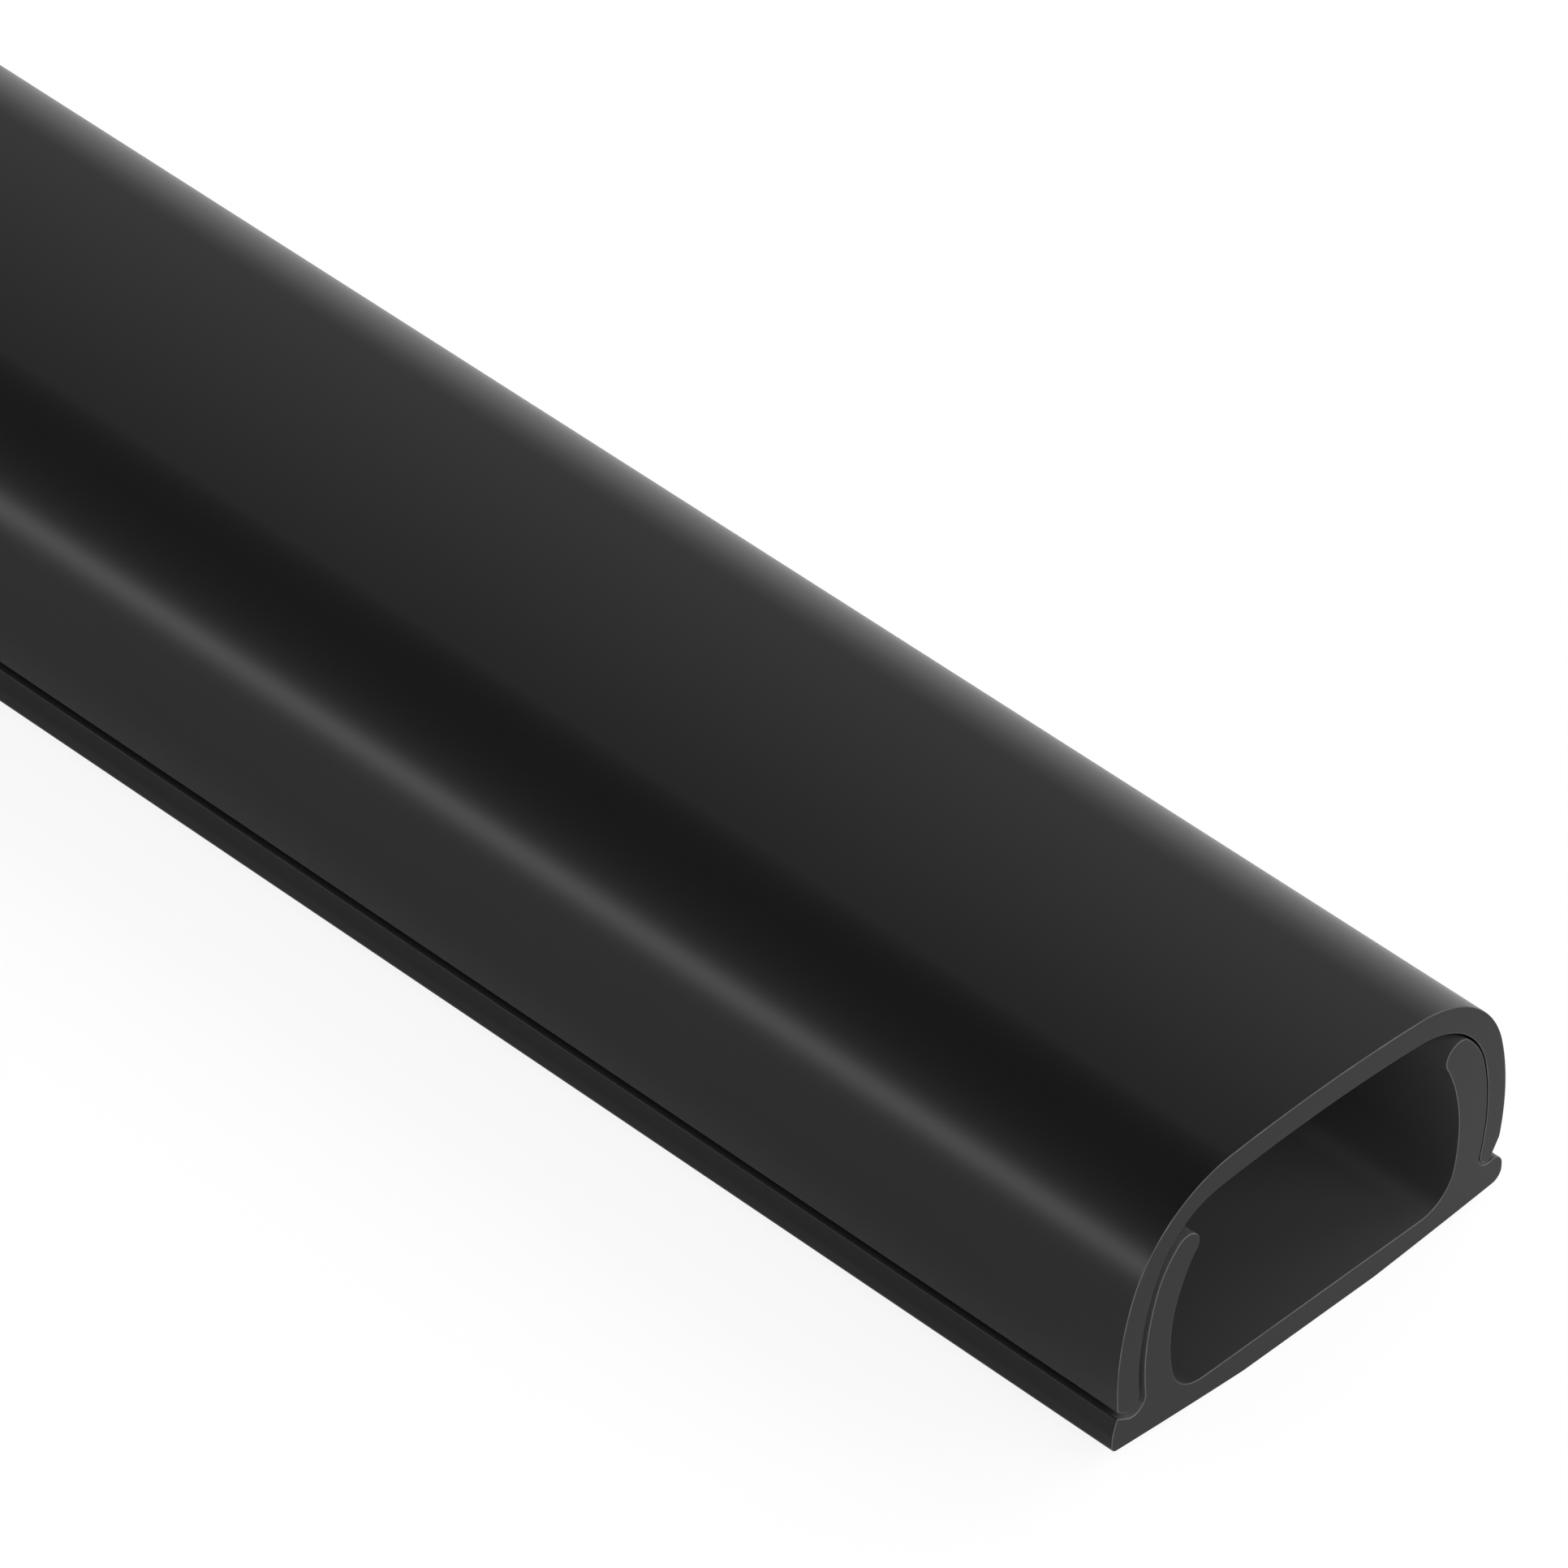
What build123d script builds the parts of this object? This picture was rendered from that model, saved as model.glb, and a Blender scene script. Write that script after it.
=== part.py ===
from build123d import *
from math import asin, atan2, cos, degrees, radians, sin, sqrt
import os

# Two-piece half-round cord cover, both pieces extruded and sawn to length.
# X is across the width, Y runs along the length, Z is up. All sizes in mm.
# The middle of the underside is at the origin.

raceway_length = 400.0
base_width = 30.0

# base plate
land_half_width = 5.0        # flat middle strip of the underside
underside_rise = 0.82        # how far the bowed underside has risen at the edge
floor_height = 1.7           # top of the plate inside the channel
floor_corner_radius = 1.8

# flange outside each clip arm, with a groove and a rounded nose
ledge_height = 2.45          # bottom of the groove that the cover's lip sits in
ledge_root_radius = 0.9
nose_rise = 0.4              # how far the nose stands above the groove
nose_width = 0.95
nose_lean = 0.2
nose_radius = 0.4
edge_radius = 0.6            # lower outer corner
edge_straight = 1.9          # height up to which the outer face is upright
edge_ease = 2.0              # soft turn from the upright face to the leaning nose

# cover, a dome of three tangent arcs on each side: crown, shoulder and side
cover_height = 16.6
flange_reveal = 0.375        # how far the flange stands out past the cover
crown_wall = 1.65
side_wall = 1.345
crown_radius = 94.0
shoulder_radius = 7.8
side_radius = 17.1
side_level = 6.0             # height of the cover's widest place
lip_gap = 0.2                # clearance between the cover's lip and the groove
lip_outer_radius = 0.35
lip_inner_radius = 0.65
cover_shift = -0.2           # the cover sits a little to one side on the arms

# clip arms, which follow the inside of the cover
arm_gap = 0.3                # clearance between an arm and the cover
arm_wall = 2.05
arm_drop = 0.15              # how much lower the arm's shoulder is than the cover's
arm_flare = 1.15             # how far the arm's inner face has come in at the floor
bead_radius = 0.95           # rounded bead along the free edge of the arm
bead_angle = 46.0            # where on the shoulder the bead sits
bead_wrap_end = 230.0        # direction in which the bead ends in a crease

# sizes that follow from the ones above
base_half = base_width / 2
cover_half = base_half - flange_reveal
arm_half = cover_half - side_wall - arm_gap
channel_half = arm_half - arm_wall
nose_height = ledge_height + nose_rise
lip_height = ledge_height + lip_gap
side_centre = Vector(cover_half - side_radius, side_level)


def at_angle(centre, radius, angle):
    return centre + Vector(cos(radians(angle)), sin(radians(angle))) * radius


def direction(start, end):
    return degrees(atan2(end.Y - start.Y, end.X - start.X))


def shoulder_inside(crown_centre, crown_r, side_r, shoulder_r):
    # centre of the circle that touches the crown's and the side's circles from inside
    from_crown = crown_r - shoulder_r
    from_side = side_r - shoulder_r
    span = side_centre - crown_centre
    along = (from_crown**2 - from_side**2 + span.length**2) / (2 * span.length)
    across = sqrt(from_crown**2 - along**2)
    ahead = span.normalized()
    return crown_centre + ahead * along + Vector(ahead.Y, -ahead.X) * across


def dome(inset_top, inset_side):
    # right half of the cover's outline, moved inward: crown, shoulder and side arcs
    crown_r = crown_radius - inset_top
    shoulder_r = shoulder_radius - inset_top
    side_r = side_radius - inset_side
    crown_centre = Vector(0, cover_height - crown_radius)
    shoulder_centre = shoulder_inside(crown_centre, crown_r, side_r, shoulder_r)
    crown_end = direction(crown_centre, shoulder_centre)
    side_start = direction(side_centre, shoulder_centre)
    lip_angle = degrees(asin((lip_height - side_level) / side_r))
    CenterArc(crown_centre, crown_r, 90, crown_end - 90)
    CenterArc(shoulder_centre, shoulder_r, crown_end, side_start - crown_end)
    CenterArc(side_centre, side_r, side_start, lip_angle - side_start)
    return shoulder_centre, shoulder_r, at_angle(side_centre, side_r, lip_angle)


def rounded(sketch, corner, radius):
    return fillet(sketch.vertices().sort_by_distance(corner)[0], radius)


def extruded(profile):
    # the profile is drawn flat as X and height, stood up, then run along Y
    upright = Plane(origin=(0, raceway_length / 2, 0), x_dir=(1, 0, 0), z_dir=(0, -1, 0))
    return extrude(upright * profile, amount=raceway_length)


# Cover: the right half of its wall between two domes, rounded at the lip and mirrored
with BuildLine() as cover_half_outline:
    outer_shoulder, outer_shoulder_radius, lip_outside = dome(0, 0)
    inner_shoulder, inner_shoulder_radius, lip_inside = dome(crown_wall, side_wall)
    Line(lip_outside, lip_inside)
    Line((0, cover_height - crown_wall), (0, cover_height))

cover_section = make_face(cover_half_outline.line)
cover_section = rounded(cover_section, lip_outside, lip_outer_radius)
cover_section = rounded(cover_section, lip_inside, lip_inner_radius)
cover_section = cover_section + mirror(cover_section, about=Plane.YZ)
snap_cover = Pos(cover_shift, 0, 0) * extruded(cover_section)

# Base: a bowed plate, the flange, and a clip arm that follows the inside of the cover
arm_side_radius = side_radius - side_wall - arm_gap
arm_shoulder_radius = inner_shoulder_radius - arm_gap
arm_shoulder_height = inner_shoulder.Y - arm_drop
arm_shoulder_start = degrees(
    asin((arm_shoulder_height - side_level) / (arm_side_radius - arm_shoulder_radius))
)
arm_shoulder = at_angle(side_centre, arm_side_radius - arm_shoulder_radius, arm_shoulder_start)
bead_centre = at_angle(arm_shoulder, arm_shoulder_radius - bead_radius, bead_angle)
crease = at_angle(bead_centre, bead_radius, bead_wrap_end)
root_angle = degrees(asin((ledge_height - side_level) / arm_side_radius))
arm_root = at_angle(side_centre, arm_side_radius, root_angle)
floor_corner = Vector(channel_half - arm_flare, floor_height)

with BuildLine() as base_half_outline:
    land = Line((0, 0), (land_half_width, 0))
    bow = ThreePointArc(
        land @ 1,
        ((land_half_width + base_half) / 2, underside_rise * 0.46),
        (base_half, underside_rise),
    )
    outer_face = Line(bow @ 1, (base_half, edge_straight))
    nose_face = Line(outer_face @ 1, (base_half - nose_lean, nose_height))
    nose_slope = Line(nose_face @ 1, (base_half - nose_width, ledge_height))
    Line(nose_slope @ 1, arm_root)
    CenterArc(side_centre, arm_side_radius, root_angle, arm_shoulder_start - root_angle)
    CenterArc(arm_shoulder, arm_shoulder_radius, arm_shoulder_start, bead_angle - arm_shoulder_start)
    CenterArc(bead_centre, bead_radius, bead_angle, bead_wrap_end - bead_angle)
    ThreePointArc(crease, (channel_half, side_level), floor_corner)
    Line(floor_corner, (0, floor_height))
    Line((0, floor_height), (0, 0))

base_section = make_face(base_half_outline.line)
base_section = rounded(base_section, (base_half, underside_rise), edge_radius)
base_section = rounded(base_section, (base_half, edge_straight), edge_ease)
base_section = rounded(base_section, (base_half - nose_lean, nose_height), nose_radius)
base_section = rounded(base_section, (base_half - nose_width, ledge_height), nose_radius)
base_section = rounded(base_section, arm_root, ledge_root_radius)
base_section = rounded(base_section, floor_corner, floor_corner_radius)
base_section = base_section + mirror(base_section, about=Plane.YZ)
base_channel = extruded(base_section)

os.makedirs("parts", exist_ok=True)
export_step(base_channel, "parts/base_channel.step")
export_step(snap_cover, "parts/snap_cover.step")
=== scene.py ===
# Half-round cord cover in black rigid plastic: a clip-on cover over a wall channel, both sawn to length.
# Sizes are in millimetres and angles in degrees. Only the meshes, the camera and the lamps are in metres.

import bpy
import math
import numpy as np
from mathutils import Matrix, Vector


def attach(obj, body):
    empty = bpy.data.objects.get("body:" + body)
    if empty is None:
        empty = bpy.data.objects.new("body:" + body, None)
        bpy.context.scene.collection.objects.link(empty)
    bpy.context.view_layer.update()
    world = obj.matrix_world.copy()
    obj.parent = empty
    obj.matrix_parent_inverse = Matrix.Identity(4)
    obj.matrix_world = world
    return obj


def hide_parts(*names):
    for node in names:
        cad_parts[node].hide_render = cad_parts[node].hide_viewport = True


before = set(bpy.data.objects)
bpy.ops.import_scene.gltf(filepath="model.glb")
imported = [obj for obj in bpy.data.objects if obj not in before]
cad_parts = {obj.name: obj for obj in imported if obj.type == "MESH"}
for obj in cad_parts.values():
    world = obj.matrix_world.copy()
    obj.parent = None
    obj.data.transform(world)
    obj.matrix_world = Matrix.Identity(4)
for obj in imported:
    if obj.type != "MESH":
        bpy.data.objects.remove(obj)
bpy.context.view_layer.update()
print("frame loaded:", ", ".join(sorted(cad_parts)))


# Camera, with its turns as in the photograph
viewPoint = {
    "place": (-0.36959, -0.49244, 0.43946),   # metres
    "azimuth": -48.235,
    "elevation": 40.719,
    "roll": 2.790,
    "lens": 289.87,
    "sensor": 36.0,
}


def addCamera(values):
    # back points from the object to the camera; right and up are turned about it by the roll
    a, e, r = (math.radians(values[key]) for key in ("azimuth", "elevation", "roll"))
    back = Vector((math.sin(a) * math.cos(e), -math.cos(a) * math.cos(e), math.sin(e)))
    right = Vector((math.cos(a), math.sin(a), 0.0))
    up = back.cross(right)
    right, up = math.cos(r) * right + math.sin(r) * up, math.cos(r) * up - math.sin(r) * right
    data = bpy.data.cameras.new("photoCamera")
    data.lens = values["lens"]
    data.sensor_width = values["sensor"]
    data.clip_start = 0.05
    data.clip_end = 60.0
    data.dof.use_dof = False
    camera = bpy.data.objects.new("photoCamera", data)
    bpy.context.scene.collection.objects.link(camera)
    turn = Matrix((right, up, back)).transposed().to_4x4()
    camera.matrix_world = Matrix.Translation(values["place"]) @ turn
    bpy.context.scene.camera = camera
    return camera


addCamera(viewPoint)
print("camera placed")


# Flat outlines: every edge is an array of points (x, height)
def polar(centre, radius, angle):
    # centre + radius * (cos t, sin t)
    t = math.radians(angle)
    return np.array(centre) + radius * np.array([math.cos(t), math.sin(t)])


def heading(start, end):
    # the angle of the way from start to end
    return math.degrees(math.atan2(end[1] - start[1], end[0] - start[0]))


def run(start, end):
    return np.array([start, end], float)


def arc(centre, radius, start, end, step=0.16, turn=4.0):
    # centre + radius * (cos t, sin t), t going evenly from start to end
    # none of its runs is longer than step or turns by more than turn
    sweep = abs(end - start)
    count = int(max(math.ceil(math.radians(sweep) * radius / step), math.ceil(sweep / turn), 1)) + 1
    t = np.radians(np.linspace(start, end, count))
    return np.array(centre) + radius * np.column_stack((np.cos(t), np.sin(t)))


def arcBetween(centre, radius, start, end, side, **steps):
    # from the direction of start to that of end, anticlockwise where side is positive
    first, last = heading(centre, start), heading(centre, end)
    sweep = (last - first) % 360 if side > 0 else -((first - last) % 360)
    return arc(centre, radius, first, first + sweep, **steps)


def arcThrough(a, b, c):
    # the circle through three points: its centre is as far from each of them
    a, b, c = np.array(a, float), np.array(b, float), np.array(c, float)
    centre = np.linalg.solve(2 * np.array([b - a, c - a]), np.array([b @ b - a @ a, c @ c - a @ a]))
    side = (b[0] - a[0]) * (c[1] - b[1]) - (b[1] - a[1]) * (c[0] - b[0])
    return arcBetween(centre, float(np.linalg.norm(a - centre)), a, c, side)


def leftOf(points, distance):
    # each point moved to the left of the path by a distance, along the mean of its two runs' normals
    ahead = np.diff(points, axis=0)
    ahead /= np.linalg.norm(ahead, axis=1)[:, None]
    both = np.vstack((ahead[:1], ahead[:-1] + ahead[1:], ahead[-1:]))
    both /= np.linalg.norm(both, axis=1)[:, None]
    return points + distance * np.column_stack((-both[:, 1], both[:, 0]))


def roundCorner(before, after, radius):
    # a ball of this radius touches both edges: its centre is where their two offset lines cross
    # so each run p + u * r of the one is set against each run q + v * s of the other
    inward = before[-1] - before[-2]
    outward = after[1] - after[0]
    side = math.copysign(1.0, inward[0] * outward[1] - inward[1] * outward[0])
    one, two = leftOf(before, side * radius), leftOf(after, side * radius)
    p, r = one[:-1, None], np.diff(one, axis=0)[:, None]
    q, s = two[None, :-1], np.diff(two, axis=0)[None]
    area = r[..., 0] * s[..., 1] - r[..., 1] * s[..., 0]
    area = np.where(np.abs(area) < 1e-12, 1e-12, area)  # 0 for parallel runs
    gap = q - p
    u = (gap[..., 0] * s[..., 1] - gap[..., 1] * s[..., 0]) / area
    v = (gap[..., 0] * r[..., 1] - gap[..., 1] * r[..., 0]) / area
    inside = (u >= 0) & (u <= 1) & (v >= 0) & (v <= 1)
    if not inside.any():
        raise ValueError("a ball of radius %g doesn't fit the corner at %s" % (radius, before[-1]))
    i, j = np.argwhere(inside)[-1]
    centre = (p + u[..., None] * r)[i, j]
    leaves = before[i] + u[i, j] * (before[i + 1] - before[i])
    joins = after[j] + v[i, j] * (after[j + 1] - after[j])
    ball = arcBetween(centre, radius, leaves, joins, side, step=0.08, turn=7.0)
    return np.vstack((before[:i + 1], leaves)), ball, np.vstack((joins, after[j + 1:]))


def joinEdges(edges, radii):
    # edges run one after the other; radii[k] rounds the corner between edges k and k + 1
    path = edges[0]
    for edge, radius in zip(edges[1:], radii):
        if radius > 0:
            path, ball, edge = roundCorner(path, edge, radius)
            path = np.vstack((path, ball[1:-1], edge))
        else:
            path = np.vstack((path, edge[1:]))
    return path


def pastPoint(path, mark, softness):
    # 0 before the point of the path nearest to the mark and 1 after it, over a soft stretch
    along = np.concatenate(([0.0], np.cumsum(np.linalg.norm(np.diff(path, axis=0), axis=1))))
    at = along[np.argmin(np.linalg.norm(path - np.array(mark), axis=1))]
    return np.clip((along - at) / softness + 0.5, 0.0, 1.0)


def sharesAlong(path, start, steps):
    # the share begins at start and goes over to each step's value round its mark, over a soft stretch
    share = np.full(len(path), start)
    for mark, softness, value in steps:
        past = pastPoint(path, mark, softness)
        share = share * (1.0 - past) + value * past
    return share


def onSide(values, side):
    # a list in a piece's dictionary holds one value for the left and one for the right
    return {key: value[side] if isinstance(value, list) else value for key, value in values.items()}


def bothSides(makeHalf):
    # the right half runs from middle to middle, and the left half, mirrored, runs back
    left, leftInsideLight = makeHalf(0)
    right, rightInsideLight = makeHalf(1)
    outline = np.vstack((right, left[::-1][1:-1] * (-1.0, 1.0)))
    return outline, np.concatenate((rightInsideLight, leftInsideLight[::-1][1:-1]))


# How an outline is carried along the length, and where its sawn edges get a painted highlight
extrusion = {
    "edgeTurns": (90.0, 68.0, 45.0, 22.0, 0.0),  # rings round the broken edge, in degrees
    "backing": (0.06, 0.8),   # two rings close behind it keep the shading of the long faces even
    "evenFrom": 8.0,          # from this far in, the rings are evenly spaced
    "evenRings": 25,
    "sharpFrom": 50.0,        # a fold of more degrees stays sharp
    "edgeHighlight": 0.45,             # painted highlight on the sawn edges, palest on those facing left and up
    "highlightLeft": 0.44,
    "highlightUp": 0.33,
    "leastHighlight": 0.1,
}


def extrude(name, outline, insideLightShare, ends, edgeRound, shift, finishes):
    # point(s, i) = (outline x, y of station s, outline height), drawn in by inset(s) along the normal
    # at both ends the inset grows as r (1 - sin t) while the last r of the length passes as r (1 - cos t)
    t = np.radians(np.array(extrusion["edgeTurns"]))
    inset = edgeRound * (1 - np.sin(t))
    reach = edgeRound * (1 - np.cos(t))
    low, high = ends
    backing = edgeRound + np.array(extrusion["backing"])
    even = np.linspace(low + extrusion["evenFrom"], high - extrusion["evenFrom"], extrusion["evenRings"])
    y = np.concatenate((low + reach[::-1], low + backing, even, high - backing[::-1], high - reach))
    drawn = np.concatenate((inset[::-1], np.zeros(len(y) - 2 * len(inset)), inset))
    ring = np.vstack((outline[-1:], outline, outline[:1]))
    ahead = ring[2:] - ring[:-2]
    ahead /= np.linalg.norm(ahead, axis=1)[:, None]
    inwardX, inwardZ = -ahead[:, 1], ahead[:, 0]
    x = outline[:, 0] + shift + drawn[:, None] * inwardX
    z = outline[:, 1] + drawn[:, None] * inwardZ
    points = np.stack((x, np.broadcast_to(y[:, None], x.shape), z), -1).reshape(-1, 3) / 1000

    stations, around = x.shape
    s, i = np.meshgrid(np.arange(stations - 1), np.arange(around), indexing="ij")
    nextI = (i + 1) % around
    near, far = s * around, (s + 1) * around
    quads = np.stack((near + i, far + i, far + nextI, near + nextI), -1).reshape(-1, 4)
    nearCap = list(range(around))
    farCap = list(range(stations * around - 1, (stations - 1) * around - 1, -1))
    mesh = bpy.data.meshes.new(name)
    mesh.from_pydata(points.tolist(), [], quads.tolist() + [nearCap, farCap])
    for finish in finishes:
        mesh.materials.append(finish)
    mesh.polygons.foreach_set("material_index", [0] * len(quads) + [1, 1])

    # painted highlight on a sawn edge = its share + its share for facing left * how far the edge faces left
    # + its share for facing up * how far it faces up
    facing = extrusion["edgeHighlight"] + extrusion["highlightLeft"] * inwardX - extrusion["highlightUp"] * inwardZ
    highlightShare = (drawn > 0)[:, None] * np.clip(facing, extrusion["leastHighlight"], 1.0)
    # the share of the paler colour painted on inside faces as painted light, given along each outline
    for label, values in (("paintedEdgeLight", highlightShare.ravel()), ("paintedInsideLight", np.tile(insideLightShare, stations))):
        mark = mesh.attributes.new(label, "FLOAT", "POINT")
        mark.data.foreach_set("value", values)
    mesh.validate()
    mesh.update()
    mesh.set_sharp_from_angle(angle=math.radians(extrusion["sharpFrom"]))
    mesh.polygons.foreach_set("use_smooth", [True] * len(quads) + [False, False])  # the cut faces stay flat
    piece = bpy.data.objects.new(name, mesh)
    bpy.context.scene.collection.objects.link(piece)
    print(name, "extruded:", around, "points round,", len(quads), "faces")
    return piece


# Effects that the finishes share
def newGroup(name, inputs, outputs):
    tree = bpy.data.node_groups.new(name, "ShaderNodeTree")
    for label, kind, value in inputs:
        socket = tree.interface.new_socket(name=label, in_out="INPUT", socket_type=kind)
        if value is not None:
            socket.default_value = value
    for label, kind in outputs:
        tree.interface.new_socket(name=label, in_out="OUTPUT", socket_type=kind)
    return tree, tree.nodes.new("NodeGroupInput"), tree.nodes.new("NodeGroupOutput")


def addMath(tree, operation, first, second=None, third=None):
    node = tree.nodes.new("ShaderNodeMath")
    node.operation = operation
    for socket, value in zip(node.inputs, (first, second, third)):
        if value is None:
            continue
        if hasattr(value, "links"):
            tree.links.new(value, socket)
        else:
            socket.default_value = value
    return node.outputs[0]


def buildDieLines():
    # drag lines left by the die: noise that changes across the section and hardly along the length
    tree, given, made = newGroup(
        "dieLines",
        [("Vector", "NodeSocketVector", None), ("Lines Per Metre", "NodeSocketFloat", 900.0),
         ("Wander", "NodeSocketFloat", 0.004)],
        [("Lines", "NodeSocketFloat")],
    )
    squeeze = tree.nodes.new("ShaderNodeCombineXYZ")
    squeeze.inputs["X"].default_value = 1.0
    squeeze.inputs["Z"].default_value = 1.0
    tree.links.new(given.outputs["Wander"], squeeze.inputs["Y"])
    product = tree.nodes.new("ShaderNodeVectorMath")
    product.operation = "MULTIPLY"
    tree.links.new(given.outputs["Vector"], product.inputs[0])
    tree.links.new(squeeze.outputs[0], product.inputs[1])
    noise = tree.nodes.new("ShaderNodeTexNoise")
    noise.inputs["Detail"].default_value = 3.0
    noise.inputs["Roughness"].default_value = 0.6
    tree.links.new(product.outputs[0], noise.inputs["Vector"])
    tree.links.new(given.outputs["Lines Per Metre"], noise.inputs["Scale"])
    tree.links.new(noise.outputs["Fac"], made.inputs["Lines"])
    return tree


def buildFineGrain():
    # the matte skin of rigid plastic: a fine noise over a broad one, each with its own share
    tree, given, made = newGroup(
        "fineGrain",
        [("Vector", "NodeSocketVector", None), ("Fine Scale", "NodeSocketFloat", 5200.0),
         ("Broad Scale", "NodeSocketFloat", 60.0), ("Broad Share", "NodeSocketFloat", 0.4)],
        [("Grain", "NodeSocketFloat"), ("Cloud", "NodeSocketFloat")],
    )
    fine = tree.nodes.new("ShaderNodeTexNoise")
    fine.inputs["Detail"].default_value = 2.0
    broad = tree.nodes.new("ShaderNodeTexNoise")
    broad.inputs["Detail"].default_value = 3.0
    for node, scale in ((fine, "Fine Scale"), (broad, "Broad Scale")):
        tree.links.new(given.outputs["Vector"], node.inputs["Vector"])
        tree.links.new(given.outputs[scale], node.inputs["Scale"])
    mixed = tree.nodes.new("ShaderNodeMix")
    mixed.data_type = "FLOAT"
    tree.links.new(given.outputs["Broad Share"], mixed.inputs["Factor"])
    tree.links.new(fine.outputs["Fac"], mixed.inputs["A"])
    tree.links.new(broad.outputs["Fac"], mixed.inputs["B"])
    tree.links.new(mixed.outputs["Result"], made.inputs["Grain"])
    tree.links.new(broad.outputs["Fac"], made.inputs["Cloud"])
    return tree


def buildPaintedEdgeLines():
    # a painted highlight along the sawn edges; noise breaks the line up
    tree, given, made = newGroup(
        "paintedEdgeLines",
        [("Vector", "NodeSocketVector", None), ("Break Scale", "NodeSocketFloat", 700.0),
         ("Least", "NodeSocketFloat", 0.55)],
        [("Highlight", "NodeSocketFloat")],
    )
    mark = tree.nodes.new("ShaderNodeAttribute")
    mark.attribute_name = "paintedEdgeLight"
    noise = tree.nodes.new("ShaderNodeTexNoise")
    noise.inputs["Detail"].default_value = 2.0
    tree.links.new(given.outputs["Vector"], noise.inputs["Vector"])
    tree.links.new(given.outputs["Break Scale"], noise.inputs["Scale"])
    spread = tree.nodes.new("ShaderNodeMapRange")
    spread.inputs["From Min"].default_value = 0.35
    spread.inputs["From Max"].default_value = 0.65
    tree.links.new(noise.outputs["Fac"], spread.inputs["Value"])
    tree.links.new(given.outputs["Least"], spread.inputs["To Min"])
    edgeHighlight = addMath(tree, "MULTIPLY", mark.outputs["Fac"], spread.outputs["Result"])
    tree.links.new(edgeHighlight, made.inputs["Highlight"])
    return tree


dieLines = buildDieLines()
fineGrain = buildFineGrain()
paintedEdgeLines = buildPaintedEdgeLines()
print("shared effects built")


def placeGroup(tree, group, vector, settings=None):
    node = tree.nodes.new("ShaderNodeGroup")
    node.node_tree = group
    tree.links.new(vector, node.inputs["Vector"])
    for label, value in (settings or {}).items():
        node.inputs[label].default_value = value
    return node


def mixColours(tree, share, first, second):
    # the Mix node has sockets of the same name for numbers too, so the colours are picked by their type
    node = tree.nodes.new("ShaderNodeMix")
    node.data_type = "RGBA"
    colours = [socket for socket in node.inputs if socket.type == "RGBA"]
    tree.links.new(share, node.inputs[0])
    for socket, colour in zip(colours, (first, second)):
        if hasattr(colour, "links"):
            tree.links.new(colour, socket)
        else:
            socket.default_value = (*colour, 1.0)
    return [socket for socket in node.outputs if socket.type == "RGBA"][0]


def splitBetween(tree, first, second, share):
    # share * first + (1 - share) * second
    ofFirst = addMath(tree, "MULTIPLY", first, share)
    ofSecond = addMath(tree, "MULTIPLY", second, 1 - share)
    return addMath(tree, "ADD", ofFirst, ofSecond)


def spreadTo(tree, value, low, high):
    # a noise mostly lies between 0.3 and 0.7
    node = tree.nodes.new("ShaderNodeMapRange")
    node.inputs["From Min"].default_value = 0.3
    node.inputs["From Max"].default_value = 0.7
    node.inputs["To Min"].default_value = low
    node.inputs["To Max"].default_value = high
    tree.links.new(value, node.inputs["Value"])
    return node.outputs["Result"]


def newFinish(name):
    material = bpy.data.materials.new(name)
    material.use_nodes = True
    tree = material.node_tree
    tree.nodes.clear()
    shader = tree.nodes.new("ShaderNodeBsdfPrincipled")
    output = tree.nodes.new("ShaderNodeOutputMaterial")
    tree.links.new(shader.outputs["BSDF"], output.inputs["Surface"])
    place = tree.nodes.new("ShaderNodeTexCoord").outputs["Object"]
    return material, tree, shader, place


def addSkin(tree, shader, height, values):
    # one relief moves both the roughness and the bump, a little
    low, high = values["roughness"]
    tree.links.new(spreadTo(tree, height, low, high), shader.inputs["Roughness"])
    bump = tree.nodes.new("ShaderNodeBump")
    bump.inputs["Strength"].default_value = values["relief"]
    bump.inputs["Distance"].default_value = values["reliefDepth"]
    tree.links.new(height, bump.inputs["Height"])
    tree.links.new(bump.outputs["Normal"], shader.inputs["Normal"])
    shader.inputs["IOR"].default_value = values["ior"]
    shader.inputs["Specular IOR Level"].default_value = values["gloss"]


def extrudedFinish(name, values):
    # satin black with drag lines and grain, with painted light on the inside faces and a painted highlight
    # at the cut edges
    material, tree, shader, place = newFinish(name)
    lines = placeGroup(tree, dieLines, place, {"Lines Per Metre": values["linesPerMetre"]})
    grain = placeGroup(tree, fineGrain, place)
    edgeHighlight = placeGroup(tree, paintedEdgeLines, place)
    body = mixColours(tree, spreadTo(tree, grain.outputs["Cloud"], 0.0, 1.0), values["dark"], values["pale"])
    insideLightShare = tree.nodes.new("ShaderNodeAttribute")
    insideLightShare.attribute_name = "paintedInsideLight"
    bodyWithPaintedLight = mixColours(tree, insideLightShare.outputs["Fac"], body, values["inside"])
    colour = mixColours(tree, edgeHighlight.outputs["Highlight"], bodyWithPaintedLight, values["edge"])
    tree.links.new(colour, shader.inputs["Base Color"])
    both = splitBetween(tree, lines.outputs["Lines"], grain.outputs["Grain"], values["lineShare"])
    addSkin(tree, shader, both, values)
    return material


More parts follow.
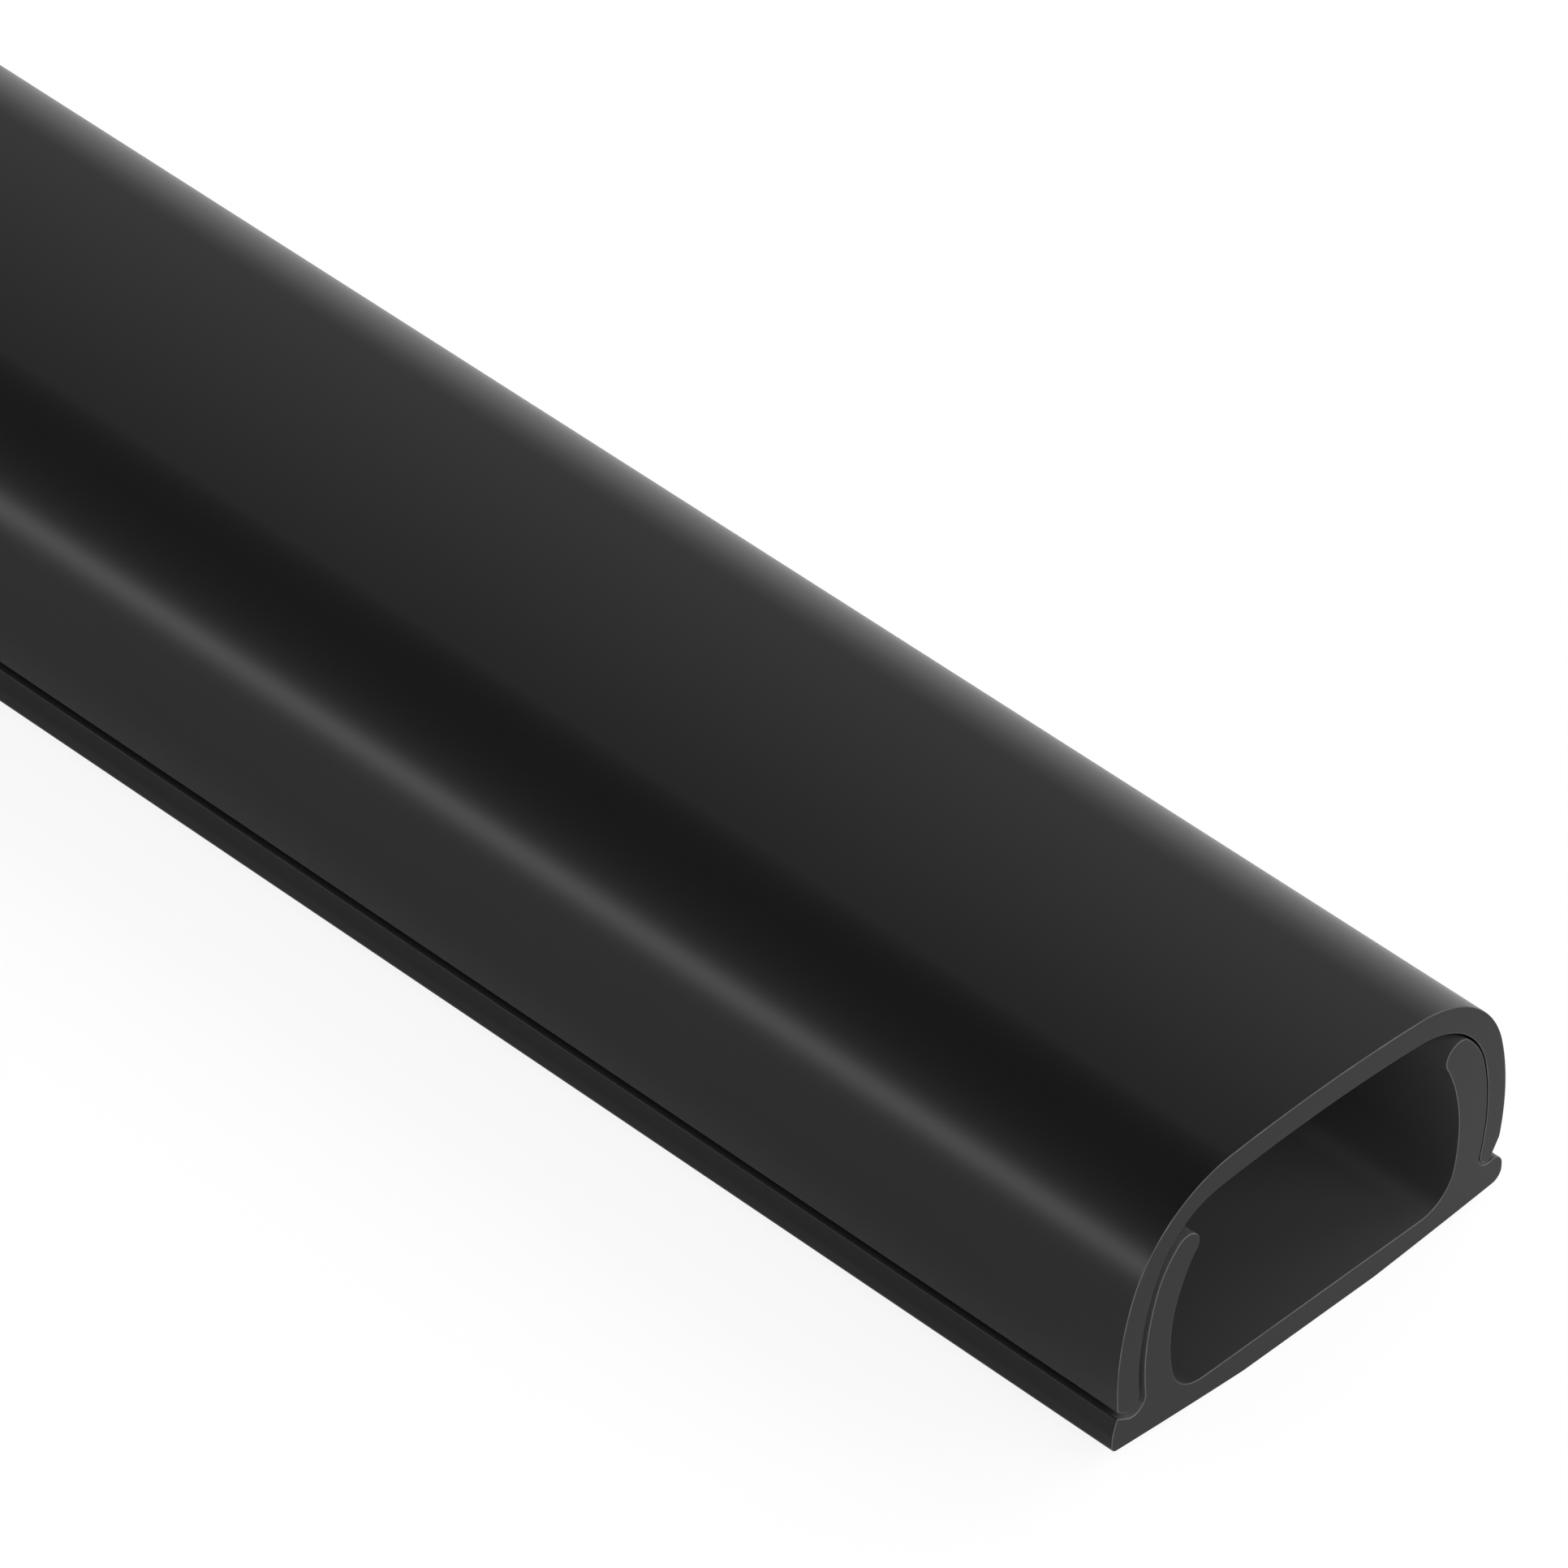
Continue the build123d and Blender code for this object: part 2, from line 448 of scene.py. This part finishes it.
def sawnFinish(name, values):
    # a sawn end: arcs of the blade, whose centre lies far off the section, over the grain
    # painted light makes it paler to the right and towards the bottom: share = start + x * way x + z * way z
    material, tree, shader, place = newFinish(name)
    centred = tree.nodes.new("ShaderNodeMapping")
    centred.inputs["Location"].default_value = values["bladeCentre"]
    tree.links.new(place, centred.inputs["Vector"])
    blade = tree.nodes.new("ShaderNodeTexWave")
    blade.wave_type = "RINGS"
    blade.rings_direction = "Y"
    blade.inputs["Scale"].default_value = values["marksPerMetre"]
    blade.inputs["Distortion"].default_value = values["markWobble"]
    blade.inputs["Detail"].default_value = 2.0
    blade.inputs["Detail Scale"].default_value = values["markWobbleScale"]
    tree.links.new(centred.outputs["Vector"], blade.inputs["Vector"])
    grain = placeGroup(tree, fineGrain, place,
                       {"Fine Scale": values["grainScale"], "Broad Scale": values["cloudScale"]})
    both = splitBetween(tree, blade.outputs["Fac"], grain.outputs["Grain"], values["markShare"])
    along = tree.nodes.new("ShaderNodeVectorMath")
    along.operation = "DOT_PRODUCT"
    along.inputs[1].default_value = values["paintedLightWay"]
    tree.links.new(place, along.inputs[0])
    paler = addMath(tree, "ADD", along.outputs["Value"], values["paintedLightStart"])
    paler = addMath(tree, "MULTIPLY_ADD", both, values["grainShare"], paler)
    paler = addMath(tree, "MINIMUM", addMath(tree, "MAXIMUM", paler, 0.0), 1.0)
    tree.links.new(mixColours(tree, paler, values["dark"], values["pale"]), shader.inputs["Base Color"])
    addSkin(tree, shader, both, values)
    return material


# Sawn ends of both pieces
sawnValues = {
    "dark": (0.0098, 0.0098, 0.0098),
    "pale": (0.0188, 0.0188, 0.0188),
    "paintedLightWay": (23.0, 0.0, -40.0),    # painted light: how fast it turns paler that way, per metre
    "paintedLightStart": 0.70,
    "grainShare": 0.18,       # what the relief adds to that
    "roughness": (0.49, 0.51),
    "bladeCentre": (0.03, 0.0, 0.11),  # metres
    "marksPerMetre": 500.0,
    "markWobble": 1.5,
    "markWobbleScale": 0.6,
    "markShare": 0.05,        # share of the marks in the relief; the rest is grain
    "grainScale": 3800.0,
    "cloudScale": 240.0,
    "relief": 0.02,
    "reliefDepth": 0.00003,
    "ior": 1.46,
    "gloss": 0.14,
}
sawnPlastic = sawnFinish("sawnPlastic", sawnValues)


# Cover. The real one isn't quite the same on both sides: a list holds the left and the right value.
cover = {
    "length": 400.0,
    "height": 16.6,
    "halfWidth": 14.70,
    "crownWall": 1.65,
    "sideWall": [1.60, 1.345],
    "crownRadius": 94.0,
    "shoulderRadius": 7.8,
    "innerShoulderRadius": [5.0, 6.4],
    "sideRadius": 17.1,
    "sideLevel": 6.0,         # height of its widest place
    "lipHeight": [2.72, 2.58],
    "lipFlat": [0.66, 0.90],  # flat end of the lip, measured from the inside
    "bevelHeight": [3.50, 3.84],      # the lip slopes up from there and meets the outside at this height
    "lipInnerRadius": [0.36, 0.68],
    "lipTipRadius": [0.70, 0.20],
    "bevelRadius": [0.15, 0.50],
    "shift": -0.2,            # it sits a little to one side on the arms
    "edgeRound": 0.04,        # what the saw's burr leaves when it is broken off
    "dark": (0.0052, 0.0052, 0.0052),
    "pale": (0.0057, 0.0057, 0.0057),
    "inside": (0.040, 0.040, 0.040),  # a paler colour painted on the inside as painted light
    "roofShare": 0.3,         # how much of that painted light the inside has, down to the lip, which has all of it
    "lipFade": 0.5,           # length over which the roof's share goes over to the lip's
    "bevelFade": 0.15,        # and the lip's to none at all outside
    # colour of the painted highlight on the sawn edges
    "edge": (0.10, 0.10, 0.10),
    "roughness": (0.30, 0.32),
    "linesPerMetre": 900.0,
    "lineShare": 0.6,         # share of the lines in the relief; the rest is grain
    "relief": 0.03,
    "reliefDepth": 0.00002,
    "ior": 1.46,
    "gloss": 0.20,
}
sideCentre = np.array([cover["halfWidth"] - cover["sideRadius"], cover["sideLevel"]])


def domeArcs(insetTop, insetSide, shoulderR, lipHeight):
    # crown, shoulder and side circles of the right half, moved inward; each touches the next from inside
    crownR = cover["crownRadius"] - insetTop
    sideR = cover["sideRadius"] - insetSide
    crownCentre = np.array([0.0, cover["height"] - cover["crownRadius"]])
    span = sideCentre - crownCentre
    reach = float(np.linalg.norm(span))
    along = ((crownR - shoulderR) ** 2 - (sideR - shoulderR) ** 2 + reach**2) / (2 * reach)
    across = math.sqrt((crownR - shoulderR) ** 2 - along**2)
    ahead = span / reach
    shoulder = crownCentre + ahead * along + np.array([ahead[1], -ahead[0]]) * across
    crownEnd = heading(crownCentre, shoulder)
    sideStart = heading(sideCentre, shoulder)
    lip = math.degrees(math.asin((lipHeight - cover["sideLevel"]) / sideR))
    arcs = [
        arc(crownCentre, crownR, 90, crownEnd, step=0.5),
        arc(shoulder, shoulderR, crownEnd, sideStart),
        arc(sideCentre, sideR, sideStart, lip, step=0.25),
    ]
    return arcs, shoulder


def coverHalf(side):
    # down the inside from the middle of the crown, across the lip and up the outside
    c = onSide(cover, side)
    outside = domeArcs(0.0, 0.0, c["shoulderRadius"], c["bevelHeight"])[0]
    inside = domeArcs(c["crownWall"], c["sideWall"], c["innerShoulderRadius"], c["lipHeight"])[0]
    tip = inside[2][-1] + (c["lipFlat"], 0.0)
    lip = [run(inside[2][-1], tip), run(tip, outside[2][-1])]
    back = [edge[::-1] for edge in outside[::-1]]
    radii = [0, 0, c["lipInnerRadius"], c["lipTipRadius"], c["bevelRadius"], 0, 0]
    path = joinEdges(inside + lip + back, radii)
    return path, sharesAlong(path, c["roofShare"], [
        (inside[2][-1], c["lipFade"], 1.0),
        (outside[2][-1], c["bevelFade"], 0.0),
    ])


ends = (-cover["length"] / 2, cover["length"] / 2)  # of both pieces
coverPlastic = extrudedFinish("coverPlastic", cover)
coverShell = extrude("coverShell", *bothSides(coverHalf), ends, cover["edgeRound"], cover["shift"],
                     [coverPlastic, sawnPlastic])
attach(coverShell, "cover")
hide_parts("snap_cover")


# Base channel
base = {
    "halfWidth": [15.0, 14.81],
    "landHalfWidth": 5.0,     # flat strip of the underside
    "undersideRise": [0.85, 0.70],
    "bowShare": 0.46,         # how much of that rise the bowed underside has half way out
    "floorHeight": 1.7,
    "floorCornerRadius": [2.5, 2.4],
    "ledgeHeight": [2.43, 2.39],      # bottom of the groove that the cover's lip sits in
    "ledgeRootRadius": [0.85, 0.80],
    "noseRise": [0.64, 0.24],
    "noseWidth": [1.36, 1.20],
    "noseLean": [0.26, 0.10],
    "noseRadius": [0.10, 0.78],
    "grooveRadius": 0.6,
    "edgeRadius": [0.47, 0.75],
    "edgeStraight": [2.0, 1.5],       # height up to which the outer face is upright
    "edgeEase": [2.0, 0.8],
    "armSideInset": 1.345,    # the arms follow a curve this far inside the cover's outline
    "armTopInset": 1.65,
    "armGap": [0.495, 0.30],  # clearance past that curve
    "armWall": [1.93, 2.16],
    "armDrop": [0.0, 0.08],   # how much lower the arm's shoulder is than the curve's
    "channelLevel": [5.25, 6.8],      # height of the channel's widest place
    "armFlare": [1.06, 0.56],         # how far the arm's inner face has come in at the floor
    "beadRadius": [0.93, 0.97],
    "beadAngle": [44.0, 45.0],
    "beadWrapEnd": [230.0, 219.0],    # direction in which the bead ends in a crease
    "edgeRound": 0.04,
    "dark": (0.0052, 0.0052, 0.0052),
    "pale": (0.0057, 0.0057, 0.0057),
    # a paler colour painted on the channel's inside as painted light
    "inside": (0.085, 0.085, 0.085),
    # how much of that painted light there is: in the groove, at the top and the foot of the channel's wall,
    # in its corner and on its floor; the low shares in the left corner and the right groove are painted
    # shade
    "grooveShare": [0.90, 0.3],
    "wallTopShare": 0.55,
    "wallFootShare": 0.33,
    "cornerShare": [0.25, 0.50],
    "floorShare": 0.38,
    # where each goes over to its share, and the length over which it does
    "grooveFrom": (-0.1, -0.05),      # past the nose's top
    "grooveFade": 0.15,
    "wallTopFade": 0.5,               # round the bead
    "wallFootLevel": 6.3,
    "wallFootFade": 8.0,
    "cornerFrom": (-0.75, 0.4),       # past the floor's corner
    "cornerFade": 0.9,
    "floorFrom": (-2.1, 0.0),         # past the same corner
    "floorFade": 1.5,
    # colour of the painted highlight on the sawn edges
    "edge": (0.10, 0.10, 0.10),
    "roughness": (0.32, 0.36),
    "linesPerMetre": 750.0,
    "lineShare": 0.6,
    "relief": 0.03,
    "reliefDepth": 0.00002,
    "ior": 1.46,
    "gloss": 0.20,
}


def baseHalf(side):
    # along the underside, up over the nose, round the clip arm and back along the channel floor
    b = onSide(base, side)
    followed = cover["shoulderRadius"] - b["armTopInset"]
    followedShoulder = domeArcs(b["armTopInset"], b["armSideInset"], followed, b["ledgeHeight"])[1]
    sideR = cover["sideRadius"] - b["armSideInset"] - b["armGap"]
    shoulderR = followed - b["armGap"]
    rise = followedShoulder[1] - b["armDrop"] - sideCentre[1]
    shoulderStart = math.degrees(math.asin(rise / (sideR - shoulderR)))
    shoulder = polar(sideCentre, sideR - shoulderR, shoulderStart)
    bead = polar(shoulder, shoulderR - b["beadRadius"], b["beadAngle"])
    crease = polar(bead, b["beadRadius"], b["beadWrapEnd"])
    rootAngle = math.degrees(math.asin((b["ledgeHeight"] - sideCentre[1]) / sideR))
    root = polar(sideCentre, sideR, rootAngle)
    channelHalf = cover["halfWidth"] - b["armSideInset"] - b["armGap"] - b["armWall"]
    corner = (channelHalf - b["armFlare"], b["floorHeight"])
    half = b["halfWidth"]
    land = (b["landHalfWidth"], 0.0)
    outer = (half, b["undersideRise"])
    easeAt = (half, b["edgeStraight"])
    noseTop = (half - b["noseLean"], b["ledgeHeight"] + b["noseRise"])
    groove = (half - b["noseWidth"], b["ledgeHeight"])
    edges = [
        run((0.0, 0.0), land),
        arcThrough(land, ((land[0] + half) / 2, b["undersideRise"] * b["bowShare"]), outer),
        run(outer, easeAt),
        run(easeAt, noseTop),
        run(noseTop, groove),
        run(groove, root),
        arc(sideCentre, sideR, rootAngle, shoulderStart, step=0.25),
        arc(shoulder, shoulderR, shoulderStart, b["beadAngle"]),
        arc(bead, b["beadRadius"], b["beadAngle"], b["beadWrapEnd"]),
        arcThrough(crease, (channelHalf, b["channelLevel"]), corner),
        run(corner, (0.0, b["floorHeight"])),
    ]
    radii = [0, b["edgeRadius"], b["edgeEase"], b["noseRadius"], b["grooveRadius"], b["ledgeRootRadius"],
             0, 0, 0, b["floorCornerRadius"]]
    path = joinEdges(edges, radii)
    return path, sharesAlong(path, 0.0, [
        (np.add(noseTop, b["grooveFrom"]), b["grooveFade"], b["grooveShare"]),
        (bead, b["wallTopFade"], b["wallTopShare"]),
        ((channelHalf, b["wallFootLevel"]), b["wallFootFade"], b["wallFootShare"]),
        (np.add(corner, b["cornerFrom"]), b["cornerFade"], b["cornerShare"]),
        (np.add(corner, b["floorFrom"]), b["floorFade"], b["floorShare"]),
    ])


basePlastic = extrudedFinish("basePlastic", base)
baseExtrusion = extrude("baseExtrusion", *bothSides(baseHalf), ends, base["edgeRound"], 0.0,
                        [basePlastic, sawnPlastic])
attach(baseExtrusion, "base")
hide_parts("base_channel")


# Floor: white to the camera and in reflections, with a share left to carry the shadow
floorValues = {
    "size": 14.0,             # metres
    "cells": 8,               # each way
    "colour": (0.90, 0.90, 0.90),
    "glow": 0.88,             # to the camera
    "mirroredGlow": 0.1,      # in reflections and through glass
}


def addFloor(values):
    # a flat grid, z = 0 everywhere
    half = values["size"] / 2
    cells = values["cells"]
    across = cells + 1
    line = np.linspace(-half, half, across)
    gx, gy = np.meshgrid(line, line, indexing="ij")
    points = np.column_stack((gx.ravel(), gy.ravel(), np.zeros(gx.size)))
    i, j = np.meshgrid(np.arange(cells), np.arange(cells), indexing="ij")
    first = i * across + j
    quads = np.stack((first, first + across, first + across + 1, first + 1), -1).reshape(-1, 4)
    mesh = bpy.data.meshes.new("floor")
    mesh.from_pydata(points.tolist(), [], quads.tolist())
    floor = bpy.data.objects.new("floor", mesh)
    bpy.context.scene.collection.objects.link(floor)
    material = bpy.data.materials.new("paleFloor")
    material.use_nodes = True
    tree = material.node_tree
    tree.nodes.clear()
    matte = tree.nodes.new("ShaderNodeBsdfDiffuse")
    matte.inputs["Color"].default_value = (*values["colour"], 1.0)
    white = tree.nodes.new("ShaderNodeEmission")
    white.inputs["Strength"].default_value = 1.0
    path = tree.nodes.new("ShaderNodeLightPath")
    mirrored = addMath(tree, "MAXIMUM", path.outputs["Is Glossy Ray"], path.outputs["Is Transmission Ray"])
    seen = addMath(tree, "MULTIPLY", path.outputs["Is Camera Ray"], values["glow"])
    mirrored = addMath(tree, "MULTIPLY", mirrored, values["mirroredGlow"])
    mix = tree.nodes.new("ShaderNodeMixShader")
    tree.links.new(addMath(tree, "MAXIMUM", seen, mirrored), mix.inputs[0])
    tree.links.new(matte.outputs[0], mix.inputs[1])
    tree.links.new(white.outputs[0], mix.inputs[2])
    output = tree.nodes.new("ShaderNodeOutputMaterial")
    tree.links.new(mix.outputs[0], output.inputs["Surface"])
    mesh.materials.append(material)
    return floor


addFloor(floorValues)


# Studio: a sky that is bright at the horizon and dim overhead, and large soft boxes
studio = {
    "aim": (0.0, -0.14, 0.008),
    "horizon": 1.38,
    "zenith": 0.0,
    # azimuth from +X towards +Y, elevation, distance in metres, width and height in degrees, brightness
    "boxes": {
        "stripBox": (150.0, 11.1, 2.4, 45.0, 10.5, 7.0),
        "wideBox": (24.0, 22.0, 2.6, 80.0, 50.0, 0.40),
        "keyBox": (245.0, 40.0, 2.2, 40.0, 30.0, 2.6),
        "frontBox": (295.0, 30.0, 2.2, 40.0, 30.0, 5.2),
        "sideBox": (355.0, 38.0, 2.4, 40.0, 40.0, 3.8),
    },
}


def addSoftBox(name, azimuth, elevation, distance, wide, tall, brightness):
    # an area lamp of W watts over A square metres has a brightness of W / (pi A)
    a, e = math.radians(azimuth), math.radians(elevation)
    out = Vector((math.cos(a) * math.cos(e), math.sin(a) * math.cos(e), math.sin(e)))
    width = 2 * distance * math.tan(math.radians(wide / 2))
    height = 2 * distance * math.tan(math.radians(tall / 2))
    data = bpy.data.lights.new(name, "AREA")
    data.shape = "RECTANGLE"
    data.size = width
    data.size_y = height
    data.energy = brightness * math.pi * width * height
    lamp = bpy.data.objects.new(name, data)
    bpy.context.scene.collection.objects.link(lamp)
    lamp.location = Vector(studio["aim"]) + out * distance
    lamp.rotation_mode = "QUATERNION"
    lamp.rotation_quaternion = out.to_track_quat("Z", "Y")
    lamp.visible_camera = False
    return lamp


def addSky(values):
    # brightness = zenith + (horizon - zenith) * (1 - height of the direction)
    world = bpy.data.worlds.new("studioSky")
    bpy.context.scene.world = world
    world.use_nodes = True
    tree = world.node_tree
    tree.nodes.clear()
    place = tree.nodes.new("ShaderNodeTexCoord")
    split = tree.nodes.new("ShaderNodeSeparateXYZ")
    tree.links.new(place.outputs["Generated"], split.inputs[0])
    fall = tree.nodes.new("ShaderNodeMapRange")
    fall.inputs["From Min"].default_value = 0.0
    fall.inputs["From Max"].default_value = 1.0
    fall.inputs["To Min"].default_value = values["horizon"]
    fall.inputs["To Max"].default_value = values["zenith"]
    tree.links.new(split.outputs["Z"], fall.inputs["Value"])
    sky = tree.nodes.new("ShaderNodeBackground")
    tree.links.new(fall.outputs["Result"], sky.inputs["Strength"])
    output = tree.nodes.new("ShaderNodeOutputWorld")
    tree.links.new(sky.outputs[0], output.inputs["Surface"])


for boxName, boxValues in studio["boxes"].items():
    addSoftBox(boxName, *boxValues)
addSky(studio)
bpy.context.scene.view_settings.view_transform = "Standard"
print("floor and studio lights placed")
